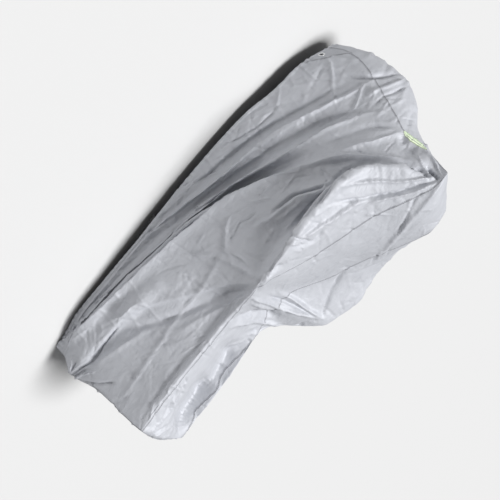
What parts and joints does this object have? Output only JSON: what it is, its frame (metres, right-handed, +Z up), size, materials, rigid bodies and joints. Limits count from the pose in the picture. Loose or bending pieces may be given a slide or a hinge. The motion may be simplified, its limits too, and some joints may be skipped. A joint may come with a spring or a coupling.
{
  "type": "motorcycle cover",
  "caption": "Fitted coated-cloth cover draped over a motorcycle: folded sides, high front, lower seat, open underside, lock eyelets at the front hem and a buckle strap under the belly.",
  "frame": {"origin": "under the middle of the cover, level with its lowest hem", "axes": "+X from the nose to the tail, +Y to the right side, +Z up"},
  "size_m": [2.2758, 0.8174, 1.0687],
  "materials": {
    "cloth": "silver-coated, satin",
    "patch": "silver-coated, satin",
    "eyelet": "nickel plated",
    "tape": "reflective",
    "webbing": "woven",
    "buckle": "moulded"
  },
  "bodies": {
    "root": {"centre_panel": "cloth", "side_panel_left": "cloth", "side_panel_right": "cloth", "eyelet_patch_left": "patch", "eyelet_patch_right": "patch", "lock_eyelet_left": "eyelet", "lock_eyelet_right": "eyelet", "reflective_tape_left": "tape", "reflective_tape_right": "tape", "hem_strap_left": "webbing", "hem_strap_right": "webbing", "buckle_socket": "buckle", "buckle_plug": "buckle"}
  },
  "joints": []
}
